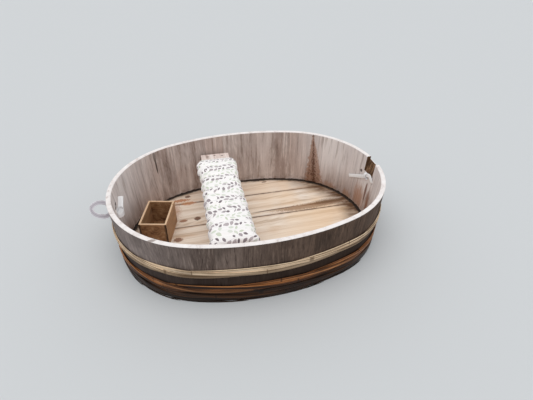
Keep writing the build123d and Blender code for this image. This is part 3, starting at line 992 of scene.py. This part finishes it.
bpy.context.view_layer.objects.active = sleeve_piece
laid = [vertex.co.copy() for vertex in sleeve_mesh.vertices]
cloth = sleeve_piece.modifiers.new("Cloth", "CLOTH")
for setting, value in cloth_settings.items():
    setattr(cloth.settings, setting, value)
cloth.settings.effector_weights.gravity = 0
cloth.point_cache.frame_end = 24
for step in range(1, cloth_steps + 1):
    bpy.context.scene.frame_set(step)
stirred = sleeve_piece.evaluated_get(bpy.context.evaluated_depsgraph_get())
moved = [vertex.co.copy() for vertex in stirred.to_mesh().vertices]
stirred.to_mesh_clear()
sleeve_piece.modifiers.remove(cloth)
bpy.context.scene.frame_set(1)
for vertex, before, after in zip(sleeve_mesh.vertices, laid, moved):
    step = after - before
    vertex.co = before + step * min(1.0, pad_stir / max(step.length, 1e-6))
bpy.ops.object.modifier_add(type="SUBSURF")
sleeve_piece.modifiers[0].levels = 1
sleeve_piece.modifiers[0].render_levels = 1
bpy.ops.object.modifier_apply(modifier=sleeve_piece.modifiers[0].name)

# A garland of small leaves in pairs along a stem, repeated down the cloth.
sprig, sprig_in, sprig_out = new_group(
    "sprig rows",
    [("Vector", "Vector", None), ("Row", "Float", 0.12), ("Leaf", "Float", 0.027), ("Shift", "Float", 0.0),
     ("Length", "Float", 0.027), ("Width", "Float", 0.013), ("Tilt", "Float", 0.6), ("Keep", "Float", 0.85)],
    [("Leaves", "Float"), ("Stem", "Float"), ("Chance", "Float")],
)
spread = parts(sprig, sprig_in["Vector"])
drift = stray(sprig, sprig_in["Vector"], 9.0, 1.0)
drift_too = stray(sprig, placed(sprig, sprig_in["Vector"], shift=(3, 5, 0)), 7.0, 1.0)
cross = times_plus(sprig, drift, 0.03, spread["X"])
run = times_plus(sprig, drift_too, 0.07, spread["Y"])
row_share = reckon(sprig, "DIVIDE", reckon(sprig, "ADD", run, sprig_in["Shift"]), sprig_in["Row"])
row_number = reckon(sprig, "FLOOR", row_share)
row_off = times(sprig, minus(sprig, reckon(sprig, "FRACT", row_share), 0.5), sprig_in["Row"])
half_row = reckon(sprig, "SIGN", row_off)
staggered = times_plus(sprig, half_row, 0.006, times_plus(sprig, row_number, 0.011, cross))
leaf_share = reckon(sprig, "DIVIDE", staggered, sprig_in["Leaf"])
leaf_number = reckon(sprig, "FLOOR", leaf_share)
leaf_off = times(sprig, minus(sprig, reckon(sprig, "FRACT", leaf_share), 0.5), sprig_in["Leaf"])

# Each leaf's own place, lean and size.
cell = vector_of(sprig, leaf_number, row_number, half_row)
chance = add_node(sprig, "TexWhiteNoise", {"Vector": cell}, noise_dimensions="3D").outputs
luck = add_node(sprig, "SeparateColor", {0: chance["Color"]}).outputs
leaf_x = times_plus(sprig, minus(sprig, luck[0], 0.5), 0.008, leaf_off)
stand_off = times_plus(sprig, luck[1], 0.014, 0.0105)
leaf_y = minus(sprig, row_off, times(sprig, half_row, stand_off))
lean_by = times_plus(sprig, minus(sprig, luck[2], 0.5), 1.5, sprig_in["Tilt"])
lean_by = times(sprig, lean_by, half_row)
turn_cos = reckon(sprig, "COSINE", lean_by)
turn_sin = reckon(sprig, "SINE", lean_by)
leaf_size = times_plus(sprig, luck[0], 0.22, 0.38)
lengthwise = times_plus(sprig, leaf_x, turn_cos, times(sprig, leaf_y, turn_sin))
lengthwise = reckon(sprig, "DIVIDE", lengthwise, times(sprig, sprig_in["Length"], leaf_size))
sideways = times_plus(sprig, leaf_y, turn_cos, times(sprig, leaf_x, -1.0, turn_sin))
sideways = reckon(sprig, "DIVIDE", sideways, times(sprig, sprig_in["Width"], leaf_size))
fullness = minus(sprig, 1.0, times(sprig, lengthwise, lengthwise))
fullness = minus(sprig, fullness, reckon(sprig, "ABSOLUTE", sideways))

# Fewer leaves where the print is bare.
bare = mottle(sprig, sprig_in["Vector"], 13.0, 1.0, 0.56, 0.66, shift=(7, 2, 0))
kept = below(sprig, chance["Value"], times_plus(sprig, bare, -0.75, sprig_in["Keep"]))
leaves = times(sprig, between(sprig, fullness, -0.06, 0.14), kept)
stem = falling(sprig, reckon(sprig, "ABSOLUTE", row_off), 0.0006, 0.0018)
sprig.links.new(leaves, sprig_out["Leaves"])
sprig.links.new(stem, sprig_out["Stem"])
sprig.links.new(chance["Value"], sprig_out["Chance"])


def printed_cotton():
    """White cotton with loose rows of small leaf sprigs, grey-purple and pale green."""
    finish, tree, place = new_finish("printed cotton")
    pattern = add_node(tree, "UVMap", uv_map="cloth").outputs[0]
    pattern = placed(tree, pattern, turn=(0, 0, radians(4)))
    plum = add_node(tree, "Group", {
        "Vector": pattern, "Row": 0.128, "Leaf": 0.031, "Shift": 0.02, "Length": 0.035, "Width": 0.020,
        "Tilt": 0.55, "Keep": 0.90}, node_tree=sprig).outputs
    green = add_node(tree, "Group", {
        "Vector": pattern, "Row": 0.128, "Leaf": 0.033, "Shift": 0.084, "Length": 0.036, "Width": 0.018,
        "Tilt": -0.6, "Keep": 0.80}, node_tree=sprig).outputs
    plum_tone = lay_over(tree, tone(110, 96, 102), tone(200, 188, 190), plum["Chance"])
    green_tone = lay_over(tree, tone(206, 213, 190), tone(230, 230, 223), green["Chance"])
    colour = lay_over(tree, tone(253, 248, 246), tone(196, 208, 190), green["Stem"], 0.3)
    colour = lay_over(tree, colour, green_tone, green["Leaves"])
    colour = lay_over(tree, colour, tone(170, 160, 164), plum["Stem"], 0.35)
    colour = lay_over(tree, colour, plum_tone, plum["Leaves"])
    threads = [
        add_node(tree, "TexWave", {"Vector": pattern, "Scale": 500.0}, bands_direction=way).outputs["Fac"]
        for way in ("X", "Y")
    ]
    weave = reckon(tree, "ADD", *threads)
    return sealed(finish, colour, weave, 0.0003, 0.4, roughness=0.9, sheen=0.15)


sleeve_mesh.materials.append(printed_cotton())
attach(sleeve_piece, "root")
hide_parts("bench_pad")

# Box
# Five pieces of brown plywood, butted and nailed, with the raw edges paler than the faces.
# The box is open at the top and stands loose on the planks.
box_low, box_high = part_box("box_end_near")
box_nicks = [
    (nick, (0.007, 0.012, 0.010), 0.4, (62, 40, 26), 0.8)
    for nick in ((-0.644, box_low.y, box_high.z), (-0.620, box_low.y + 0.20, box_high.z))
]


def box_wood(name):
    """Brown plywood."""
    finish, tree, place = new_finish(name)
    where = place["Object"]
    vector = placed(tree, where, turn=(pi / 2, 0, 0))
    boards = wood(tree, vector, tone(96, 63, 40), tone(142, 103, 70), tone(172, 134, 98), 24.0, 0.2, 1.8)
    facing = parts(tree, place["Normal"])
    point = parts(tree, where)
    height = point["Z"]

    # Rubbed corners: the outer faces pale towards the top. Painted shade darkens both ends of the near face,
    # over its nailed joints.
    rubbed = between(tree, height, box_high.z - 0.012, box_high.z)
    colour = lay_over(tree, boards["Color"], tone(196, 156, 118), rubbed, 0.7)
    near_end = below(tree, point["Y"], box_high.y + 0.002)
    near_face = times(tree, below(tree, facing["Y"], -0.9), near_end)
    off_middle = minus(tree, point["X"], (box_low.x + box_high.x) / 2)
    half_width = (box_high.x - box_low.x) / 2
    uneven = times(tree, cloud(tree, where, 120.0, 3.0), 0.006)
    right_off = reckon(tree, "ADD", off_middle, uneven)
    # Painted shade down both ends of the near face, by the nailed joints.
    right_joint_shade = between(tree, right_off, half_width - 0.020, half_width - 0.004)
    left_joint_shade = between(tree, minus(tree, uneven, off_middle), half_width - 0.012, half_width - 0.004)
    joint = reckon(tree, "MAXIMUM", right_joint_shade, left_joint_shade)
    colour = lay_over(tree, colour, tone(40, 25, 15), joint, near_face, 0.9)
    # Painted light: the box's face towards the bow is paler.
    painted_light_right_face = above(tree, facing["X"], 0.9)
    colour = lay_over(tree, colour, tone(214, 170, 130), painted_light_right_face, 0.35)
    colour = marked(tree, colour, where, box_nicks)

    # The raw upper edges, chipped here and there.
    edge = times(tree, between(tree, facing["Z"], 0.6, 0.9), between(tree, height, 0.28, 0.29))
    chipped = mottle(tree, where, 70.0, 3.0, 0.60, 0.68)
    worn_edge = lay_over(tree, tone(218, 184, 150), tone(120, 84, 56), chipped)
    colour = lay_over(tree, colour, worn_edge, edge)
    return sealed(finish, colour, boards["Height"], 0.0008, 0.4, roughness=0.6, gloss=0.3)


plywood = box_wood("brown plywood")
for name in ("box_end_near", "box_end_far", "box_side_left", "box_side_right", "box_bottom"):
    wear(nodes[name], plywood)
